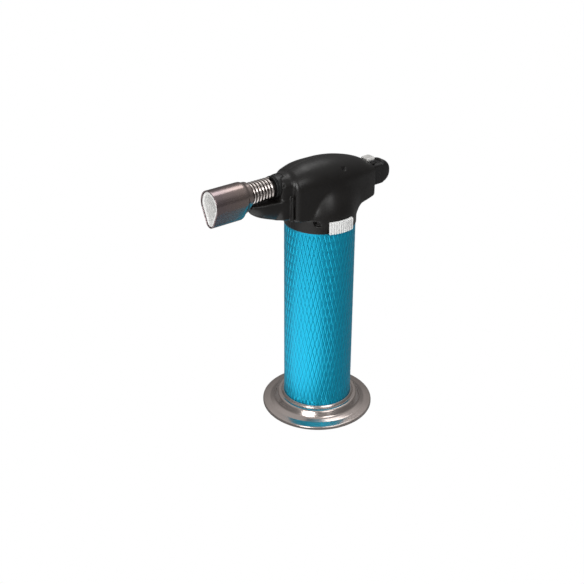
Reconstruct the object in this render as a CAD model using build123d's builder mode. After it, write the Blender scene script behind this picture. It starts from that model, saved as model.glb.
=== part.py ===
from build123d import *
import math
import os

os.makedirs("parts", exist_ok=True)

# A butane torch that stands on its own base. +Z runs up the tank, +X is the way the flame
# points and +Y is the torch's left side. The origin is the centre of the base's underside.

# Driving dimensions, mm
TANK_R = 19.0  # outside of the blue sleeve
SLEEVE_WALL = 0.55
BASE_R = 31.2
BASE_LOW = 0.4  # the metal of the base starts here, above its rubber ring
TANK_LOW = 4.0  # the tank and its sleeve stand on the base's web here
TANK_TOP = 110.0
COLLAR_R = 19.3
COLLAR_LOW = 114.7
COLLAR_TOP = 122.0
BURNER_Z = 140.8  # the burner's axis, level along X
ELECTRODE_Z = 133.0
PISTON_Z = 133.0  # the trigger's and the igniter's axis
SHELL_WALL = 1.8
GUARD_REAR = 46.4
GUARD_MOUTH = 69.0
COIL_FIRST, COIL_LAST = 32.1, 46.0
COIL_WIRE = 1.25
COIL_R = 5.65
BUSHING_R = 5.9
TRIGGER_TRAVEL = 4.0
STEM_LIFT = 0.8  # how far the whole trigger travel lifts the valve stem
LOCK_PRESS = 1.0
REFILL_TRAVEL = 1.6
PAD_START, PAD_END = 65.2, 106.5  # degrees round the collar from +X
LEVER_SWING = 14.0  # degrees each way
SLIP = 0.05  # gap between curved faces that are fixed together
RUN = 0.3  # gap between moving pieces

# Hood sections: x, half width at the foot, half width at the waist, foot z, waist z, crown z
HOOD = [
    (-32.4, 6.6, 7.2, 123.2, 131.0, 140.0),
    (-25.0, 9.2, 9.6, 122.6, 134.0, 144.2),
    (-14.0, 13.4, 12.4, 122.0, 136.0, 148.0),
    (-4.0, 18.4, 13.2, 122.0, 137.0, 149.9),
    (6.0, 17.6, 13.2, 122.0, 137.0, 150.4),
    (15.0, 12.2, 12.0, 122.0, 137.0, 149.6),
    (23.4, 10.2, 10.4, 122.0, 137.0, 146.9),
]
NOSE = [
    (16.0, 9.0, 8.8, 122.4, 138.0, 148.2),
    (30.0, 7.1, 7.2, 123.6, 139.0, 147.5),
]
# Chin sections: x, half width, underside z
CHIN_TOP = 134.6
CHIN = [(25.0, 7.4, 121.5), (34.0, 6.3, 124.1), (42.0, 4.5, 127.7), (46.0, 2.4, 130.5)]


def turned(*corners, axis=Axis.Z, mode=Mode.ADD):
    """Turn a closed outline in the XZ plane about an axis in that plane."""
    with BuildSketch(Plane.XZ) as profile:
        with BuildLine():
            Polyline(*corners, close=True)
        make_face()
    revolve(profile.sketch, axis=axis, mode=mode)


def tube(inner, outer, low, high, mode=Mode.ADD):
    """A tube round the tank's axis."""
    turned((inner, low), (outer, low), (outer, high), (inner, high), mode=mode)


def sleeve_along_x(inner, outer, start, end, centre_z=BURNER_Z, mode=Mode.ADD):
    """A tube along X round an axis at y 0 and the given height."""
    axis = Axis((0, 0, centre_z), (1, 0, 0))
    low, high = centre_z + inner, centre_z + outer
    turned((start, low), (end, low), (end, high), (start, high), axis=axis, mode=mode)


def rod_along_x(radius, start, end, y, z, mode=Mode.ADD):
    """A round rod along X."""
    with BuildSketch(Plane.YZ.offset(start)) as section:
        with Locations((y, z)):
            Circle(radius)
    extrude(section.sketch, amount=end - start, mode=mode)


def block(x0, x1, y0, y1, z0, z1, mode=Mode.ADD):
    """A box between six planes."""
    with BuildSketch(Plane.XY.offset(z0)) as section:
        with Locations(((x0 + x1) / 2, (y0 + y1) / 2)):
            Rectangle(x1 - x0, y1 - y0)
    extrude(section.sketch, amount=z1 - z0, mode=mode)


def coil(radius, wire, turns, start, end, centre=(0, 0), axis=(0, 0, 1)):
    """A round-wire coil along Z or X. Start and end are its outer ends along that axis."""
    length = end - start - wire
    first = start + wire / 2
    origin = (*centre, first) if axis[2] else (first, *centre)
    with BuildLine() as path:
        Helix(pitch=length / turns, height=length, radius=radius, center=origin, direction=axis)
    with BuildSketch(Plane(origin=path.line @ 0, z_dir=path.line % 0)) as section:
        Circle(wire / 2)
    sweep(section.sketch, path=path.line, is_frenet=True)


def egg(x, grow, drop):
    """The guard's outline at x: a round top on the burner's axis and a small round foot."""
    with BuildSketch(Plane.YZ.offset(x)) as outline:
        with Locations((0, BURNER_Z)):
            Circle(7.3 + grow)
        with Locations((0, BURNER_Z - drop)):
            Circle(3.5 + grow)
        make_hull()
    return outline.sketch


def hood_section(x, foot, waist, foot_z, waist_z, crown_z, inset):
    """One hood section, drawn in by inset all round."""
    foot, waist = foot - inset, waist - inset
    foot_z, crown_z = foot_z + inset, crown_z - inset
    with BuildSketch(Plane.YZ.offset(x)) as section:
        with BuildLine():
            Line((-foot, foot_z), (foot, foot_z))
            Spline((foot, foot_z), (waist, waist_z), (0, crown_z), (-waist, waist_z), (-foot, foot_z))
        make_face()
    return section.sketch


def chin_section(x, half, low, inset):
    """One section of the chin: flat on top and round below."""
    half, top, depth = half - inset, CHIN_TOP - inset, CHIN_TOP - low - 2 * inset
    with BuildSketch(Plane.YZ.offset(x)) as section:
        with BuildLine():
            Line((-half, top), (half, top))
            EllipticalCenterArc((0, top), half, depth, 180, arc_size=180)
        make_face()
    return section.sketch


def head_form(inset):
    """The head's whole outside form, or its inside when inset is the wall."""
    hood = [(HOOD[0][0] + inset, *HOOD[0][1:]), *HOOD[1:-1], (HOOD[-1][0] - inset, *HOOD[-1][1:])]
    nose = [NOSE[0], (NOSE[1][0] - inset, *NOSE[1][1:])]
    chin = CHIN[:-1] if inset else CHIN
    with BuildPart() as form:
        tube(0, COLLAR_R - inset, COLLAR_LOW, COLLAR_TOP + 2 * inset)
        loft([hood_section(*row, inset) for row in hood])
        loft([hood_section(*row, inset) for row in nose])
        loft([chin_section(*row, inset) for row in chin])
    return form.part


# ---- Base ----
with BuildPart() as base_stand:
    with BuildSketch(Plane.XZ) as profile:
        with BuildLine():
            lip = Polyline((TANK_R + SLIP, TANK_LOW), (TANK_R + SLIP, 8.6), (TANK_R + 0.5, 9.0), (20.3, 8.4))
            groove = Line(lip @ 1, (20.4, 7.7))
            shoulder = ThreePointArc(groove @ 1, (22.2, 7.6), (23.4, 6.6))
            flare = ThreePointArc(shoulder @ 1, (25.6, 3.9), (29.2, 2.7))
            edge = Polyline(flare @ 1, (30.6, 2.5), (BASE_R, 2.0), (BASE_R, 0.8), (30.8, BASE_LOW))
            Polyline(edge @ 1, (30.4, BASE_LOW), (30.4, 1.2), (24.6, 1.2), (24.6, BASE_LOW), (23.0, BASE_LOW),
                     (21.0, 2.4), (7.3, 2.4), (7.3, TANK_LOW), lip @ 0)
        make_face()
    revolve(profile.sketch, axis=Axis.Z)
base_stand.part.label = "base_stand"
export_step(base_stand.part, "parts/base_stand.step")

with BuildPart() as base_pad:
    tube(24.7, 30.3, 0, 1.2)
    fillet(base_pad.edges().group_by(Axis.Z)[0], 0.25)
base_pad.part.label = "base_pad"
export_step(base_pad.part, "parts/base_pad.step")

with BuildPart() as base_nut:
    tube(7.05, 10.4, 0.9, 2.4)
    with BuildSketch(Plane.XY.offset(0.9)) as notches:
        with PolarLocations(10.4, 4):
            Rectangle(2.4, 2.0)
    extrude(notches.sketch, amount=1.5, mode=Mode.SUBTRACT)
base_nut.part.label = "base_nut"
export_step(base_nut.part, "parts/base_nut.step")

# ---- Tank ----
TANK_OUT = TANK_R - SLEEVE_WALL - 2 * SLIP
TANK_IN = TANK_OUT - 1.5
with BuildPart() as fuel_tank:
    tube(0, TANK_OUT, TANK_LOW, TANK_TOP - 2.0)
    tube(0, TANK_IN, TANK_LOW + 2.0, TANK_TOP - 2.0, mode=Mode.SUBTRACT)
    tube(0, 7.0, 1.0, TANK_LOW)
    tube(0, 3.25, 0, TANK_LOW + 2.0, mode=Mode.SUBTRACT)
    tube(0, 5.3, 0, 2.6, mode=Mode.SUBTRACT)
fuel_tank.part.label = "fuel_tank"
export_step(fuel_tank.part, "parts/fuel_tank.step")

with BuildPart() as tank_sleeve:
    tube(TANK_R - SLEEVE_WALL, TANK_R, TANK_LOW, COLLAR_LOW)
tank_sleeve.part.label = "tank_sleeve"
export_step(tank_sleeve.part, "parts/tank_sleeve.step")

with BuildPart() as tank_cap:
    tube(4.6, TANK_OUT, TANK_TOP - 2.0, TANK_TOP)
    tube(4.6, TANK_IN - SLIP, TANK_TOP - 8.0, TANK_TOP - 2.0)
    tube(TANK_IN - 1.75, TANK_IN + 1, TANK_TOP - 6.0, TANK_TOP - 4.0, mode=Mode.SUBTRACT)
tank_cap.part.label = "tank_cap"
export_step(tank_cap.part, "parts/tank_cap.step")

with BuildPart() as tank_seal:
    with BuildSketch(Plane.XZ) as bead:
        with Locations((TANK_IN - 0.87, TANK_TOP - 5.0)):
            Circle(0.8)
    revolve(bead.sketch, axis=Axis.Z)
tank_seal.part.label = "tank_seal"
export_step(tank_seal.part, "parts/tank_seal.step")

# ---- Refill valve, under the tank ----
REFILL_R = 2.1
REFILL_MOUTH = 1.2
REFILL_DEPTH = 4.0
SEAL_LOW, SEAL_TOP = 7.0, 7.25
with BuildPart() as refill_valve_body:
    turned((REFILL_R, REFILL_MOUTH), (5.2, REFILL_MOUTH), (5.2, 2.6), (3.2, 2.6), (3.2, 12.0), (2.4, 12.0),
           (2.4, SEAL_LOW), (1.3, SEAL_LOW), (1.3, REFILL_MOUTH + REFILL_DEPTH),
           (REFILL_R, REFILL_MOUTH + REFILL_DEPTH))
refill_valve_body.part.label = "refill_valve_body"
export_step(refill_valve_body.part, "parts/refill_valve_body.step")

with BuildPart() as refill_seal:
    tube(1.35, 2.35, SEAL_LOW, SEAL_TOP)
refill_seal.part.label = "refill_seal"
export_step(refill_seal.part, "parts/refill_seal.step")

REFILL_STEM_TOP = 9.0
with BuildPart() as refill_stem:
    turned((0, 5.4), (1.2, 5.4), (1.2, SEAL_TOP + 0.02), (2.2, SEAL_TOP + 0.02), (2.2, 8.2), (0.8, 8.2),
           (0.8, REFILL_STEM_TOP), (0, REFILL_STEM_TOP))
refill_stem.part.label = "refill_stem"
export_step(refill_stem.part, "parts/refill_stem.step")

RETAINER_LOW, RETAINER_HIGH = REFILL_STEM_TOP + REFILL_TRAVEL + 0.6, 12.0
with BuildPart() as refill_spring:
    coil(1.5, 0.3, 4, 8.25, RETAINER_LOW - 0.05)
refill_spring.part.label = "refill_spring"
export_step(refill_spring.part, "parts/refill_spring.step")

with BuildPart() as refill_retainer:
    tube(0.8, 2.35, RETAINER_LOW, RETAINER_HIGH)
refill_retainer.part.label = "refill_retainer"
export_step(refill_retainer.part, "parts/refill_retainer.step")

# ---- Gas valve, on top of the tank ----
VALVE_R = 4.5
OUTLET_Z = 118.6
with BuildPart() as valve_body:
    tube(1.4, VALVE_R, TANK_TOP - 8.0, OUTLET_Z + 2.0)
    tube(1.4, 7.0, TANK_TOP, TANK_TOP + 2.0)
    tube(0, 2.4, TANK_TOP - 8.0, TANK_TOP - 1.0, mode=Mode.SUBTRACT)
    rod_along_x(0.6, 1.0, VALVE_R + 1, 0, OUTLET_Z, mode=Mode.SUBTRACT)
valve_body.part.label = "valve_body"
export_step(valve_body.part, "parts/valve_body.step")

with BuildPart() as valve_outlet:
    sleeve_along_x(0.35, 1.5, VALVE_R + 0.2, 6.6, centre_z=OUTLET_Z)
    sleeve_along_x(0.35, 0.65, 6.6, 9.0, centre_z=OUTLET_Z)
valve_outlet.part.label = "valve_outlet"
export_step(valve_outlet.part, "parts/valve_outlet.step")

with BuildPart() as valve_plug:
    tube(1.55, 2.35, 102.0, 104.0)
valve_plug.part.label = "valve_plug"
export_step(valve_plug.part, "parts/valve_plug.step")

with BuildPart() as pickup_tube:
    tube(0.9, 1.5, 16.0, 103.6)
pickup_tube.part.label = "pickup_tube"
export_step(pickup_tube.part, "parts/pickup_tube.step")

STEM_LOW = 104.3
STEM_FLANGE = 124.3
with BuildPart() as valve_stem:
    turned((0, STEM_LOW), (2.15, STEM_LOW), (2.15, STEM_LOW + 0.9), (1.3, STEM_LOW + 0.9), (1.3, STEM_FLANGE),
           (2.6, STEM_FLANGE), (2.6, STEM_FLANGE + 1.2), (0, STEM_FLANGE + 1.2))
valve_stem.part.label = "valve_stem"
export_step(valve_stem.part, "parts/valve_stem.step")

with BuildPart() as valve_spring:
    coil(1.88, 0.35, 4, STEM_LOW + 0.95, TANK_TOP - 1.05)
valve_spring.part.label = "valve_spring"
export_step(valve_spring.part, "parts/valve_spring.step")

# ---- Flow lever: a ring round the valve with an arm out to a ribbed pad ----
RIB_COUNT = 11
PAD_LOW, PAD_HIGH = 114.9, 121.8
PAD_IN, PAD_OUT = COLLAR_R + RUN, 20.9
ARM_LOW, ARM_HIGH = 115.6, 116.8
PAD_MIDDLE = (PAD_START + PAD_END) / 2
LEVER_ARM_HALF = 7.0  # degrees


def wedge_plate(inner, outer, start, end, low, high):
    """A ring's segment between two angles."""
    with BuildSketch(Plane.XY.offset(low)) as section:
        with BuildLine():
            near = CenterArc((0, 0), inner, start, end - start)
            far = CenterArc((0, 0), outer, start, end - start)
            Line(near @ 0, far @ 0)
            Line(near @ 1, far @ 1)
        make_face()
    extrude(section.sketch, amount=high - low)


with BuildPart() as flow_lever:
    wedge_plate(PAD_IN, PAD_OUT, PAD_START, PAD_END, PAD_LOW, PAD_HIGH)
    rib_pitch = (PAD_END - PAD_START) / RIB_COUNT
    for number in range(RIB_COUNT):
        rib_start = PAD_START + rib_pitch * (number + 0.25)
        wedge_plate(PAD_OUT - 0.2, PAD_OUT + 0.5, rib_start, rib_start + rib_pitch * 0.5, PAD_LOW, PAD_HIGH)
    wedge_plate(6.0, PAD_IN + 0.3, PAD_MIDDLE - LEVER_ARM_HALF, PAD_MIDDLE + LEVER_ARM_HALF, ARM_LOW,
                ARM_HIGH)
    tube(VALVE_R + RUN, 7.0, ARM_LOW, ARM_HIGH)
flow_lever.part.label = "flow_lever"
export_step(flow_lever.part, "parts/flow_lever.step")

# ---- Valve lever: a fork under the stem's flange that the trigger's wedge lifts ----
PIN_X, PIN_Z, PIN_R = 8.0, 123.4, 1.0
FORK_LOW, FORK_HIGH = 122.3, 123.9
FORK_TIP, FORK_HALF = -9.0, 3.6
with BuildPart() as valve_lever:
    block(FORK_TIP, PIN_X, -FORK_HALF, FORK_HALF, FORK_LOW, FORK_HIGH)
    block(FORK_TIP - 1, 2.4, -1.6, 1.6, FORK_LOW - 1, FORK_HIGH + 1, mode=Mode.SUBTRACT)
    with BuildSketch(Plane.XZ.offset(-FORK_HALF)) as eye:
        with Locations((PIN_X, PIN_Z)):
            Circle(2.2)
    extrude(eye.sketch, amount=2 * FORK_HALF)
    with BuildSketch(Plane.XZ.offset(-4)) as pin_hole:
        with Locations((PIN_X, PIN_Z)):
            Circle(PIN_R + 0.08)
    extrude(pin_hole.sketch, amount=8, mode=Mode.SUBTRACT)
valve_lever.part.label = "valve_lever"
export_step(valve_lever.part, "parts/valve_lever.step")

PIN_HALF = 8.0
with BuildPart() as lever_pin:
    with BuildSketch(Plane.XZ.offset(-PIN_HALF)) as section:
        with Locations((PIN_X, PIN_Z)):
            Circle(PIN_R)
    extrude(section.sketch, amount=2 * PIN_HALF)
lever_pin.part.label = "lever_pin"
export_step(lever_pin.part, "parts/lever_pin.step")

# ---- Igniter ----
PIEZO_REAR, PIEZO_FRONT = -19.0, 3.0
with BuildPart() as piezo_body:
    block(PIEZO_REAR, PIEZO_FRONT, -4, 4, PISTON_Z - 4.2, PISTON_Z + 4.2)
    fillet(piezo_body.edges().filter_by(Axis.X), 0.8)
    block(PIEZO_REAR, PIEZO_REAR + 11, -2.9, 2.9, PISTON_Z - 2.9, PISTON_Z + 2.9, mode=Mode.SUBTRACT)
    rod_along_x(1.5, PIEZO_FRONT, PIEZO_FRONT + 1.5, 0, PISTON_Z)
piezo_body.part.label = "piezo_body"
export_step(piezo_body.part, "parts/piezo_body.step")

SHANK_FRONT = PIEZO_REAR - TRIGGER_TRAVEL - 2.0
with BuildPart() as piezo_plunger:
    block(SHANK_FRONT, PIEZO_REAR + 5, -2.6, 2.6, PISTON_Z - 2.6, PISTON_Z + 2.6)
    fillet(piezo_plunger.edges().filter_by(Axis.X), 0.5)
piezo_plunger.part.label = "piezo_plunger"
export_step(piezo_plunger.part, "parts/piezo_plunger.step")

with BuildPart() as trigger_spring:
    coil(4.0, 0.5, 4, SHANK_FRONT + 0.05, PIEZO_REAR - 0.05, centre=(0, PISTON_Z), axis=(1, 0, 0))
trigger_spring.part.label = "trigger_spring"
export_step(trigger_spring.part, "parts/trigger_spring.step")

# ---- Trigger ----
KNOB_HALF, KNOB_LOW, KNOB_HIGH = 4.7, 126.6, 138.6
KNOB_FRONT = -29.0
THUMB_END, THUMB_FRONT, THUMB_HIGH = -45.6, -39.6, 140.2
GROOVE_HALF, GROOVE_REAR, GROOVE_LOW = 1.5, -37.6, 135.4
ARM_REAR, ARM_FRONT, ARM_UNDER = -29.6, -13.8, 125.2
WEDGE_LOW = 121.4
WEDGE_RISE = STEM_LIFT * (PIN_X - FORK_TIP) / PIN_X - 0.2  # what the fork's tip moves, less a little play
with BuildPart() as trigger:
    block(THUMB_END, THUMB_FRONT, -KNOB_HALF, KNOB_HALF, KNOB_LOW, THUMB_HIGH)
    fillet(trigger.edges().filter_by(Axis.Y).group_by(Axis.X)[0], 5.0)
    fillet(trigger.edges().filter_by(Axis.X), 1.8)
    block(THUMB_FRONT - 1, KNOB_FRONT, -KNOB_HALF + 0.4, KNOB_HALF - 0.4, KNOB_LOW + 0.4, KNOB_HIGH)
    block(KNOB_FRONT, SHANK_FRONT, -4.2, 4.2, KNOB_LOW + 0.8, KNOB_HIGH - 1.4)
    block(GROOVE_REAR, KNOB_FRONT + 0.1, -GROOVE_HALF, GROOVE_HALF, GROOVE_LOW, KNOB_HIGH + 1,
          mode=Mode.SUBTRACT)
    block(ARM_REAR, SHANK_FRONT, -FORK_HALF, FORK_HALF, ARM_UNDER, KNOB_LOW + 1)
    block(ARM_REAR, ARM_FRONT, -FORK_HALF, FORK_HALF, ARM_UNDER, ARM_UNDER + 2.8)
    with BuildSketch(Plane.XZ.offset(-FORK_HALF)) as ramp:
        with BuildLine():
            wedge_rear, wedge_top = ARM_FRONT - 2.8, FORK_LOW - RUN
            Polyline((wedge_rear, ARM_UNDER + 1.4), (wedge_rear, WEDGE_LOW), (FORK_TIP, WEDGE_LOW),
                     (FORK_TIP, wedge_top), (FORK_TIP - TRIGGER_TRAVEL, wedge_top + WEDGE_RISE),
                     (ARM_FRONT, ARM_UNDER + 1.4), close=True)
        make_face()
    extrude(ramp.sketch, amount=2 * FORK_HALF)
trigger.part.label = "trigger"
export_step(trigger.part, "parts/trigger.step")

# ---- Safety lock: a button in a pocket of the roof, with its foot in the trigger's groove ----
LOCK_X0, LOCK_X1 = -35.2, -29.6
LOCK_MIDDLE = (LOCK_X0 + LOCK_X1) / 2
LOCK_HALF = 2.8
ROOF_LOW, ROOF_HIGH = KNOB_HIGH + RUN, KNOB_HIGH + RUN + 0.8
LOCK_LOW, LOCK_HIGH = ROOF_HIGH + LOCK_PRESS + 0.2, 142.7
LOCK_SPRING_TOP = 142.0
LOCK_FOOT, LOCK_FOOT_R = 136.8, 0.9
with BuildPart() as lock_button:
    block(LOCK_X0, LOCK_X1, -LOCK_HALF, LOCK_HALF, LOCK_LOW, LOCK_HIGH)
    fillet(lock_button.edges().filter_by(Axis.Z), 1.2)
    fillet(lock_button.faces().sort_by(Axis.Z)[-1].edges(), 0.7)
    with BuildSketch(Plane.XY.offset(LOCK_LOW)) as pocket:
        with Locations((LOCK_MIDDLE, 0)):
            Circle(1.9)
    extrude(pocket.sketch, amount=LOCK_SPRING_TOP - LOCK_LOW, mode=Mode.SUBTRACT)
    with BuildSketch(Plane.XY.offset(LOCK_FOOT)) as foot:
        with Locations((LOCK_MIDDLE, 0)):
            Circle(LOCK_FOOT_R)
    extrude(foot.sketch, amount=LOCK_SPRING_TOP - LOCK_FOOT)
lock_button.part.label = "lock_button"
export_step(lock_button.part, "parts/lock_button.step")

with BuildPart() as lock_spring:
    coil(1.4, 0.28, 3, ROOF_HIGH + 0.02, LOCK_SPRING_TOP - 0.02, centre=(LOCK_MIDDLE, 0))
lock_spring.part.label = "lock_spring"
export_step(lock_spring.part, "parts/lock_spring.step")

# ---- Burner ----
TUBE_R, TUBE_IN = 4.2, 3.5
HOLDER_REAR, HOLDER_FRONT = 12.0, 18.0
INLET_X, INLET_LOW = 13.3, 134.4
AIR_HOLE_X = 22.5
TUBE_END = 52.0
with BuildPart() as jet_holder:
    sleeve_along_x(0, TUBE_IN - SLIP, HOLDER_REAR + 2, HOLDER_FRONT)
    sleeve_along_x(0, 5.4, HOLDER_REAR, HOLDER_REAR + 2.6)
    with BuildSketch(Plane.XY.offset(INLET_LOW)) as inlet:
        with Locations((INLET_X, 0)):
            Circle(0.65)
    extrude(inlet.sketch, amount=2.0)
    sleeve_along_x(0, 1.5, HOLDER_FRONT - 3, HOLDER_FRONT + 1, mode=Mode.SUBTRACT)
jet_holder.part.label = "jet_holder"
export_step(jet_holder.part, "parts/jet_holder.step")

with BuildPart() as gas_jet:
    sleeve_along_x(0.15, 1.45, HOLDER_FRONT - 3, HOLDER_FRONT)
    sleeve_along_x(0.15, 0.8, HOLDER_FRONT, HOLDER_FRONT + 2)
gas_jet.part.label = "gas_jet"
export_step(gas_jet.part, "parts/gas_jet.step")

with BuildPart() as burner_tube:
    sleeve_along_x(TUBE_IN, TUBE_R, HOLDER_REAR + 2.6, TUBE_END)
    for plane, across in ((Plane.XY.offset(BURNER_Z - 5), 0), (Plane.XZ.offset(-5), BURNER_Z)):
        with BuildSketch(plane) as air_hole:
            with Locations((AIR_HOLE_X, across)):
                Circle(1.4)
        extrude(air_hole.sketch, amount=10, mode=Mode.SUBTRACT)
burner_tube.part.label = "burner_tube"
export_step(burner_tube.part, "parts/burner_tube.step")

BUSHING_REAR, BUSHING_FRONT = 26.0, 31.8
BUSHING_GROOVES = (30.3, 31.0)
with BuildPart() as neck_bushing:
    sleeve_along_x(TUBE_R + SLIP, BUSHING_R, BUSHING_REAR, BUSHING_FRONT)
    for start in BUSHING_GROOVES:
        sleeve_along_x(BUSHING_R - 0.5, BUSHING_R + 1, start, start + 0.35, mode=Mode.SUBTRACT)
neck_bushing.part.label = "neck_bushing"
export_step(neck_bushing.part, "parts/neck_bushing.step")

with BuildPart() as heat_coil:
    coil(COIL_R - COIL_WIRE / 2, COIL_WIRE, 7, COIL_FIRST, COIL_LAST, centre=(0, BURNER_Z), axis=(1, 0, 0))
heat_coil.part.label = "heat_coil"
export_step(heat_coil.part, "parts/heat_coil.step")

FULL_EGG = 51.5  # the guard's foot slopes down from its rear plate to here
GUARD_WALL = 0.6
HOLE_R = 1.05  # the insulator's holes in the head and in the guard
with BuildPart() as flame_guard:
    loft([egg(GUARD_REAR, -0.5, 6.6), egg(FULL_EGG, 0, 8.8)])
    extrude(egg(FULL_EGG, 0, 8.8), amount=GUARD_MOUTH - FULL_EGG)
    rear_inside = GUARD_REAR + 0.8
    loft([egg(rear_inside, -0.5 - GUARD_WALL, 6.9), egg(FULL_EGG, -GUARD_WALL, 8.8)], mode=Mode.SUBTRACT)
    extrude(egg(FULL_EGG, -GUARD_WALL, 8.8), amount=GUARD_MOUTH - FULL_EGG, mode=Mode.SUBTRACT)
    sleeve_along_x(0, TUBE_R + SLIP, GUARD_REAR - 1, rear_inside + 1, mode=Mode.SUBTRACT)
    sleeve_along_x(0, HOLE_R, GUARD_REAR - 1, rear_inside + 1, centre_z=ELECTRODE_Z, mode=Mode.SUBTRACT)
flame_guard.part.label = "flame_guard"
export_step(flame_guard.part, "parts/flame_guard.step")

LINER_REAR, LINER_FRONT = FULL_EGG + 0.2, GUARD_MOUTH - 0.6
with BuildPart() as ceramic_liner:
    extrude(egg(LINER_REAR, -GUARD_WALL - SLIP, 8.8), amount=LINER_FRONT - LINER_REAR)
    extrude(egg(LINER_REAR, -GUARD_WALL - 1.3, 8.8), amount=LINER_FRONT - LINER_REAR, mode=Mode.SUBTRACT)
ceramic_liner.part.label = "ceramic_liner"
export_step(ceramic_liner.part, "parts/ceramic_liner.step")

with BuildPart() as flame_holder:
    sleeve_along_x(0, TUBE_IN - SLIP, TUBE_END - 3, TUBE_END)
    sleeve_along_x(0, 5.2, TUBE_END, TUBE_END + 1.4)
    with BuildSketch(Plane.YZ.offset(TUBE_END - 4)) as ports:
        with Locations((0, BURNER_Z)):
            Circle(0.7)
            with PolarLocations(2.3, 8):
                Circle(0.55)
    extrude(ports.sketch, amount=6, mode=Mode.SUBTRACT)
flame_holder.part.label = "flame_holder"
export_step(flame_holder.part, "parts/flame_holder.step")

# ---- Ignition ----
INSULATOR_REAR, INSULATOR_FRONT = 38.0, 54.0
ELECTRODE_R = 0.4
ELECTRODE_TIP = (56.5, 135.6)
with BuildPart() as electrode_insulator:
    sleeve_along_x(ELECTRODE_R + SLIP, HOLE_R - SLIP, INSULATOR_REAR, INSULATOR_FRONT, centre_z=ELECTRODE_Z)
electrode_insulator.part.label = "electrode_insulator"
export_step(electrode_insulator.part, "parts/electrode_insulator.step")

with BuildPart() as electrode:
    with BuildLine(Plane.XZ) as path:
        FilletPolyline((INSULATOR_REAR - 2, ELECTRODE_Z), (ELECTRODE_TIP[0], ELECTRODE_Z), ELECTRODE_TIP,
                       radius=1.2)
    with BuildSketch(Plane.YZ.offset(INSULATOR_REAR - 2)) as section:
        with Locations((0, ELECTRODE_Z)):
            Circle(ELECTRODE_R)
    sweep(section.sketch, path=path.line)
electrode.part.label = "electrode"
export_step(electrode.part, "parts/electrode.step")


def arc_radii(route):
    """Each corner's radius: 0.45 of its shorter run, divided by the tangent of half the turn."""
    radii = []
    for before, corner, after in zip(route, route[1:], route[2:]):
        run_in = Vector(*corner) - Vector(*before)
        run_out = Vector(*after) - Vector(*corner)
        half_turn = run_in.get_angle(run_out) / 2
        radii.append(0.45 * min(run_in.length, run_out.length) / math.tan(math.radians(half_turn)))
    return radii


def flexible(route, radius, bore=0.0):
    """A hose or wire along straight runs joined by tangent arcs."""
    radii = arc_radii(route)
    with BuildLine() as path:
        FilletPolyline(*route, radius=radii)
    start = Plane(origin=path.line @ 0, z_dir=path.line % 0)
    with BuildSketch(start) as section:
        Circle(radius)
        if bore:
            Circle(bore, mode=Mode.SUBTRACT)
    sweep(section.sketch, path=path.line)
    print("route length", round(path.wires()[0].length, 2), "radii", [round(r, 1) for r in radii])


LEAD_R = 0.8
LEAD_ROUTE = [(4.5, 0, PISTON_Z), (8.0, 0, PISTON_Z), (13.0, 5.0, 132.2), (22.0, 6.0, 130.6),
              (28.6, 3.0, 131.4), (32.6, 0, ELECTRODE_Z), (36.0, 0, ELECTRODE_Z)]
with BuildPart() as ignition_lead:
    flexible(LEAD_ROUTE, LEAD_R)
ignition_lead.part.label = "ignition_lead"
export_step(ignition_lead.part, "parts/ignition_lead.step")

HOSE_R, HOSE_BORE = 1.1, 0.7
HOSE_ROUTE = [(6.65, 0, OUTLET_Z), (12.0, 0, OUTLET_Z), (15.6, 0, 122.6), (15.6, 0, 129.0),
              (INLET_X, 0, 131.6), (INLET_X, 0, 135.3)]
with BuildPart() as gas_hose:
    flexible(HOSE_ROUTE, HOSE_R, HOSE_BORE)
gas_hose.part.label = "gas_hose"
export_step(gas_hose.part, "parts/gas_hose.step")

# ---- Head: two shells that meet on the plane y 0 ----
SCREWS = [(-7.5, 144.6, 9.0), (-13.5, 118.7, 9.0), (23.5, 126.4, 6.6)]  # x, z, how far the boss reaches
SCREW_R, SCREW_HEAD_R, SCREW_HEAD = 1.0, 1.75, 1.5
BOSS_R = 2.4
SADDLE_X = 20.5, 24.0  # the wall that holds the burner tube
DIMPLE = (-7.5, 145.2)
NOTCH_START, NOTCH_END = 41.0, 53.0  # degrees round the collar


def rod_along_y(radius, x, z, start, end, mode=Mode.ADD):
    """A round rod along Y."""
    with BuildSketch(Plane.XZ.offset(-start)) as section:
        with Locations((x, z)):
            Circle(radius)
    extrude(section.sketch, amount=start - end, mode=mode)


with BuildPart() as inside_fittings:
    block(*SADDLE_X, -12, 12, 136.0, 150)
    block(-10.0, -4.0, -14, 14, PISTON_Z - 3.4, PISTON_Z + 3.4)
    rod_along_y(2.3, PIN_X, PIN_Z, -16, 16)
    for x, z, _ in SCREWS:
        rod_along_y(BOSS_R, x, z, -16, 16)
    block(PIEZO_REAR - 1, PIEZO_FRONT, -4.05, 4.05, PISTON_Z - 4.25, PISTON_Z + 4.25, mode=Mode.SUBTRACT)
    block(PIN_X - 3, PIN_X + 3, -4.2, 4.2, PIN_Z - 3, PIN_Z + 3, mode=Mode.SUBTRACT)
    add(head_form(0.6), mode=Mode.INTERSECT)

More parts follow.
